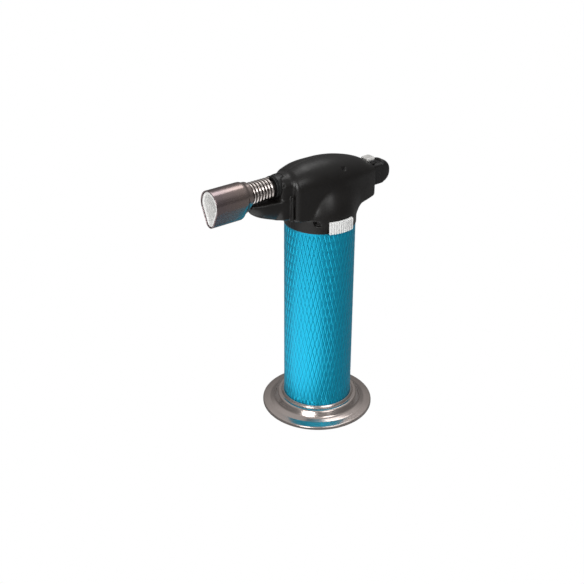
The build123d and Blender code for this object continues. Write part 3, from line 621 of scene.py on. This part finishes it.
def lever_field(x, y, z):
    """The ribbed pad outside the collar, and the arm and ring that it turns on."""
    angle = np.degrees(np.arctan2(y, x))
    far = np.hypot(x, y)
    arc = math.radians(1) * 20
    wave = np.cos((angle - PAD_START) / (PAD_END - PAD_START) * RIBS * 2 * math.pi)
    rib = np.clip(0.75 - wave * 1.6, -1, 1) * 0.38 - 0.1
    eased = 4 * np.clip(np.abs(z - PAD_MIDDLE) - 2.9, 0, 1) ** 2
    thickness = between(far, PAD_INSIDE, PAD_OUTSIDE + rib - eased * 0.2)
    pad = smax(thickness, between(angle, PAD_START, PAD_END) * arc, 0.6)
    pad = smax(pad, between(z, PAD_LOW, PAD_HIGH), 0.6)
    middle = (PAD_START + PAD_END) / 2
    arm = smax(between(angle, middle - 7, middle + 7) * arc * far / 20, between(far, 6.0, 19.9), 0.3)
    ring = between(far, 4.8, 7.0)
    flat = smax(np.minimum(arm, ring), between(z, 115.6, 116.8), 0.3)
    return np.minimum(pad, flat)


lever_mesh = surface(lever_field, (-9, -8, 114), (10, 22, 122), 0.22)
piece("ribbed_flow_lever", *lever_mesh, "flow_lever", WHITE, ["flow_lever"], "white_plastic")


# ---- Base and sleeve ----

# Corners of the base's section: radius, height and how round the corner is
BASE_OUTLINE = rounded([
    (19.05, 4.0, 0.2), (19.05, 8.9, 0.25), (19.75, 8.9, 0.4), (20.35, 8.1, 0.3), (20.45, 7.5, 0.25),
    (22.6, 7.6, 1.4), (24.4, 4.0, 2.4), (27.0, 2.85, 2.0), (31.2, 2.45, 0.7), (31.2, 0.4, 0.6),
    (30.4, 0.4, 0.1), (30.4, 1.2, 0.1), (24.6, 1.2, 0.1), (24.6, 0.4, 0.1), (23.0, 0.4, 0.4),
    (21.0, 2.4, 0.4), (7.3, 2.4, 0.15), (7.3, 4.0, 0.15)], 6)
piece("turned_base", *lathe(BASE_OUTLINE[::-1], 192), "torch", BASE_METAL, ["base_stand"], "polished_base")


SPLIT = 7  # mesh cells from one cut to the next
CUT_DEPTH = 0.2
LAND_DEPTH = 0.06  # how far the rims of the lands between the cuts lie inside TANK_R
LAND_CROWN = 0.04


def level_ring(radius, angles, height):
    """Points round the tank's axis at one height."""
    return np.stack([radius * np.cos(angles), radius * np.sin(angles), np.full(len(angles), height)], 1)


def cut_sleeve():
    """The sleeve with two families of shallow helical cuts. The mesh's edges lie along the cuts."""
    around = STARTS * SPLIT
    length = COLLAR_LOW - SLEEVE_LOW
    row_height = 2 * math.pi * TANK_R / STARTS / SPLIT / CUT_SLOPE / 2
    rows = int(length / row_height)
    row_height = length / rows
    column = np.arange(around)
    rings = []
    for row in range(rows + 1):
        first = (column - row // 2) % SPLIT  # cells from a cut of one family
        second = (column + (row + 1) // 2) % SPLIT  # and of the other
        crown = LAND_CROWN * np.sin(first * math.pi / SPLIT) * np.sin(second * math.pi / SPLIT)
        depth = np.where((first != 0) & (second != 0), LAND_DEPTH - crown, CUT_DEPTH)
        if row < 2 or row > rows - 2:  # a plain band at each end
            depth = np.full(around, LAND_DEPTH)
        angles = (column + (row % 2) * 0.5) * 2 * math.pi / around
        rings.append(level_ring(TANK_R - depth, angles, SLEEVE_LOW + row * row_height))
    faces = []
    for row in range(rows):
        here, above = row * around, (row + 1) * around
        for i in range(around):
            k = (i + 1) % around
            if row % 2:
                faces += [(here + i, above + k, above + i), (here + i, here + k, above + k)]
            else:
                before = (i - 1) % around
                faces += [(here + i, above + i, above + before), (here + i, here + k, above + i)]
    bore = np.full(around, SLEEVE_BORE)
    for height in (COLLAR_LOW, SLEEVE_LOW):
        rings.append(level_ring(bore, column * 2 * math.pi / around, height))
    top, inner_top, inner_low = rows * around, (rows + 1) * around, (rows + 2) * around
    for a, b in ((top, inner_top), (inner_top, inner_low), (inner_low, 0)):
        for i in range(around):
            k = (i + 1) % around
            faces += [(a + i, a + k, b + k), (a + i, b + k, b + i)]
    return np.concatenate(rings), faces


piece("diamond_cut_sleeve", *cut_sleeve(), "torch", BLUE, ["tank_sleeve"], "blue_sleeve", 18)


# ---- Burner ----

# Corners of the bushing's section: radius, x and how round the corner is
BUSHING_OUTLINE = rounded([
    (4.25, 26.0, 0.2), (5.9, 26.0, 0.2), (5.9, 30.3, 0.1), (5.4, 30.35, 0.1), (5.4, 30.6, 0.1),
    (5.9, 30.65, 0.1), (5.9, 31.0, 0.1), (5.4, 31.05, 0.1), (5.4, 31.3, 0.1), (5.9, 31.35, 0.1),
    (5.9, 31.8, 0.2), (4.25, 31.8, 0.2)], 4)
bushing_mesh = lathe(BUSHING_OUTLINE, 128, BURNER_Z)
piece("ribbed_bushing", *bushing_mesh, "torch", BLACK_BUSHING, ["neck_bushing"], "black_bushing")

ARC_STEPS, SIDE_STEPS, FOOT_STEPS = 56, 12, 24
TOP_R, FOOT_R = 7.3, 3.5
DROP = 8.8  # from the top arc's centre to the foot's, at the mouth
NECK_R = 4.3  # the hole round the burner tube


def egg_ring(x, grow, drop):
    """The guard's section: a round top on the burner's axis, a small round foot and straight sides."""
    top, foot = TOP_R + grow, FOOT_R + grow
    lean = math.asin((top - foot) / drop)
    over = np.linspace(-lean, math.pi + lean, ARC_STEPS)
    under = np.linspace(math.pi + lean, 2 * math.pi - lean, FOOT_STEPS)
    upper = np.stack([top * np.cos(over), top * np.sin(over)], 1)
    lower = np.stack([foot * np.cos(under), foot * np.sin(under) - drop], 1)
    steps = np.linspace(0, 1, SIDE_STEPS + 2)[1:-1, None]
    left = upper[-1] + (lower[0] - upper[-1]) * steps
    right = lower[-1] + (upper[0] - lower[-1]) * steps
    flat = np.concatenate([upper, left, lower, right])
    return np.stack([np.full(len(flat), x), flat[:, 0], flat[:, 1] + BURNER_Z], 1)


def round_ring(x, radius, like):
    """A circle round the burner's axis with its points in the same directions as another ring's."""
    out = like[:, 1:] - [0, BURNER_Z]
    out = out / np.linalg.norm(out, axis=1, keepdims=True) * radius
    return np.stack([np.full(len(out), x), out[:, 0], out[:, 1] + BURNER_Z], 1)


def guard_mesh():
    """The guard's skin: round its rear edge, up the shoulder, along to the rolled mouth and back inside."""
    rear = egg_ring(GUARD_REAR, -1.6, 6.2)
    rings = [round_ring(GUARD_REAR + 0.05, NECK_R, rear), rear]
    for a in np.linspace(0.2, math.pi / 2, 5):
        x = GUARD_REAR + 0.9 * (1 - math.cos(a))
        rings.append(egg_ring(x, -0.75 - 0.9 * (1 - math.sin(a)), 6.2 + 0.4 * math.sin(a)))
    for x, widened, lowered in ((48.3, 0.04, 0.2), (49.2, 0.2, 0.42), (49.8, 0.7, 0.6), (50.4, 0.95, 0.78)):
        rings.append(egg_ring(x, -0.75 + 0.75 * widened, 6.6 + 2.2 * lowered))
    rings += [egg_ring(x, 0, DROP) for x in (51.6, 56, 60, 64, 68)]
    for a in np.linspace(0, math.pi, 7):
        rings.append(egg_ring(GUARD_MOUTH - 0.25 * (1 - math.sin(a)), -0.25 + 0.25 * math.cos(a), DROP))
    rings += [egg_ring(x, -0.55, DROP) for x in (68, 60, 52.2)]
    rings += [egg_ring(49.6, -1.1, 7.6), egg_ring(47.6, -1.5, 6.6), round_ring(47.2, NECK_R, rear)]
    return np.concatenate(rings), rings_to_faces(len(rings), len(rear), True)


piece("egg_flame_guard", *guard_mesh(), "torch", GUARD_METAL, ["flame_guard"], "guard_steel", 40)


def liner_mesh():
    """The liner just inside the guard, with a round rim at the mouth."""
    rings = [egg_ring(x, -0.65, DROP) for x in (51.8, 56, 62, 67.9)]
    for a in np.linspace(0.2, math.pi - 0.2, 9):
        rings.append(egg_ring(68.7 - 0.7 * (1 - math.sin(a)), -1.4 + 0.75 * math.cos(a), DROP))
    rings += [egg_ring(x, -2.15, DROP) for x in (67.8, 62, 56, 51.8)]
    return np.concatenate(rings), rings_to_faces(len(rings), len(rings[0]), True)


piece("guard_liner", *liner_mesh(), "torch", CERAMIC, ["ceramic_liner"], "ceramic", 40)


# ---- Springs ----

SPRING_TURNS = 4


def wound_wire(radius, wire, start, end, centre, along_x):
    """A closed round-wire helix between two places on its axis, with flat end turns."""
    around, steps = 10, 40 * SPRING_TURNS
    t = np.linspace(0, 1, steps + 1)
    turn = t * SPRING_TURNS * 2 * math.pi
    low, high = start + wire / 2, end - wire / 2
    along = low + (high - low) * np.clip((t * SPRING_TURNS - 0.5) / (SPRING_TURNS - 1), 0, 1)
    path = np.stack([radius * np.cos(turn), radius * np.sin(turn), along], 1)
    ahead = np.gradient(path, axis=0)
    ahead /= np.linalg.norm(ahead, axis=1, keepdims=True)
    out = np.stack([np.cos(turn), np.sin(turn), np.zeros_like(turn)], 1)
    side = np.cross(ahead, out)
    round_wire = np.linspace(0, 2 * math.pi, around, endpoint=False)
    rings = path[:, None] + wire / 2 * (np.cos(round_wire)[None, :, None] * out[:, None]
                                        + np.sin(round_wire)[None, :, None] * side[:, None])
    points = rings.reshape(-1, 3)
    if along_x:
        points = points[:, [2, 0, 1]]
        points += [0, *centre]
    else:
        points += [*centre, 0]
    faces = rings_to_faces(steps + 1, around, False)
    caps = [list(range(around))[::-1], list(range(steps * around, (steps + 1) * around))]
    return points, faces + caps


# name, node, joint, coil radius, wire, start, end, centre, along X, end that stays,
# share of its length left at the joint's far limit
SPRINGS = [
    ("trigger_return", "trigger_spring", "trigger_slide", 3.75, 0.5, -24.95, -19.05, (0, PISTON_Z), True,
     -19.05, 1.9 / 5.9),
    ("lock_return", "lock_spring", "lock_slide", 1.4, 0.28, ROOF_HIGH + 0.02, 141.98, (LOCK_X, 0), False,
     ROOF_HIGH + 0.02, 1.26 / 2.26),
    ("refill_return", "refill_spring", "refill_slide", 1.5, 0.3, 8.25, 11.15, (0, 0), False,
     11.15, 1.3 / 2.9),
    ("valve_return", "valve_spring", "valve_stem_slide", 1.88, 0.35, 105.25, 108.95, (0, 0), False,
     108.95, 2.8 / 3.7),
]
for name, node, joint, radius, wire, start, end, centre, along_x, held, share in SPRINGS:
    wire_mesh = wound_wire(radius, wire, start, end, centre, along_x)
    coil = piece(name, *wire_mesh, "torch", SPRING, [node], "spring_steel")
    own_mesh(coil)


# ---- Stage, light and camera ----

def stage_floor():
    """A pale floor that the camera sees as white, and that the object sees as mid grey."""
    reach = 6.0
    corners = [(-reach, -reach, 0), (reach, -reach, 0), (reach, reach, 0), (-reach, reach, 0)]
    mesh = bpy.data.meshes.new("floor")
    mesh.from_pydata(corners, [], [(0, 1, 2, 3)])
    floor = bpy.data.objects.new("floor", mesh)
    bpy.context.scene.collection.objects.link(floor)
    paint = Paint("floor_white", (0.3, 0.3, 0.3), 0.9)
    glow = paint.add("ShaderNodeEmission")
    seen = paint.add("ShaderNodeLightPath")
    pick = paint.add("ShaderNodeMixShader")
    paint.link(seen.outputs["Is Camera Ray"], pick.inputs["Fac"])
    paint.link(paint.shader.outputs["BSDF"], pick.inputs[1])
    paint.link(glow.outputs["Emission"], pick.inputs[2])
    paint.link(pick.outputs["Shader"], paint.tree.nodes["Material Output"].inputs["Surface"])
    mesh.materials.append(paint.material)


def soft_light(name, place, aim, size, power):
    """A round lamp at a place, in metres, turned to a point."""
    data = bpy.data.lights.new(name, "AREA")
    data.shape = "DISK"
    data.size = size
    data.energy = power
    lamp = bpy.data.objects.new(name, data)
    lamp.location = place
    lamp.rotation_euler = (Vector(aim) - Vector(place)).to_track_quat("-Z", "Y").to_euler()
    bpy.context.scene.collection.objects.link(lamp)


def studio():
    """A white room that is darker round the horizon than overhead, with white behind the object."""
    world = bpy.data.worlds.new("studio")
    bpy.context.scene.world = world
    world.use_nodes = True
    tree = world.node_tree
    nodes, links = tree.nodes, tree.links
    background = nodes["Background"]
    direction = nodes.new("ShaderNodeTexCoord")
    split = nodes.new("ShaderNodeSeparateXYZ")
    ramp = nodes.new("ShaderNodeValToRGB")
    level = nodes.new("ShaderNodeMapRange")
    level.inputs["From Min"].default_value = -1
    links.new(direction.outputs["Generated"], split.inputs["Vector"])
    links.new(split.outputs["Z"], level.inputs["Value"])
    links.new(level.outputs["Result"], ramp.inputs["Fac"])
    # From straight down to straight up
    stops = ((0.0, 0.1), (0.47, 0.12), (0.55, 0.18), (0.72, 0.25), (0.85, 0.5), (1.0, 0.6))
    while len(ramp.color_ramp.elements) < len(stops):
        ramp.color_ramp.elements.new(0.5)
    for element, (at, grey) in zip(ramp.color_ramp.elements, stops):
        element.position = at
        element.color = (grey, grey, grey, 1)
    links.new(ramp.outputs["Color"], background.inputs["Color"])
    white = nodes.new("ShaderNodeBackground")
    white.inputs["Color"].default_value = (1, 1, 1, 1)
    pick = nodes.new("ShaderNodeMixShader")
    ray = nodes.new("ShaderNodeLightPath")
    links.new(ray.outputs["Is Camera Ray"], pick.inputs["Fac"])
    links.new(background.outputs["Background"], pick.inputs[1])
    links.new(white.outputs["Background"], pick.inputs[2])
    links.new(pick.outputs["Shader"], nodes["World Output"].inputs["Surface"])


def photo_camera():
    """The photograph's viewpoint: its azimuth, elevation and roll, and the point that it looks past."""
    azimuth, elevation, roll = math.radians(142.75), math.radians(28.31), math.radians(0.144)
    distance, focal, frame_size = 569.3, 1043.1, 584
    off_x, off_y = 26.8, -14.6  # where the target lies from the frame's centre
    target = Vector((0, 0, 80))
    back = Vector((math.sin(azimuth) * math.cos(elevation), -math.cos(azimuth) * math.cos(elevation),
                   math.sin(elevation)))
    level = Vector((0, 0, 1)).cross(back).normalized()
    lift = back.cross(level)
    right = level * math.cos(roll) + lift * math.sin(roll)
    up = lift * math.cos(roll) - level * math.sin(roll)
    eye = target + back * distance - right * (off_x * distance / focal) + up * (off_y * distance / focal)
    data = bpy.data.cameras.new("camera")
    data.sensor_width = 36
    data.lens = focal / frame_size * data.sensor_width
    data.clip_start = 0.01
    camera = bpy.data.objects.new("camera", data)
    bpy.context.scene.collection.objects.link(camera)
    turn = Matrix((right, up, back)).transposed().to_4x4()
    camera.matrix_world = Matrix.Translation(eye * MM) @ turn
    bpy.context.scene.camera = camera


stage_floor()
studio()
photo_camera()
soft_light("key", (1.05, 0.6, 0.5), (0, 0, 0.1), 0.55, 8)
soft_light("fill", (0.1, 1.1, 0.9), (0, 0, 0.08), 0.7, 3.5)
soft_light("back", (-0.5, -0.3, 1.5), (0, 0, 0.08), 0.9, 5)
soft_light("bounce_card", (0.155, 0.03, 0.003), (0.155, 0.03, 1), 0.25, 0.18)
bpy.context.scene.view_settings.view_transform = "Standard"
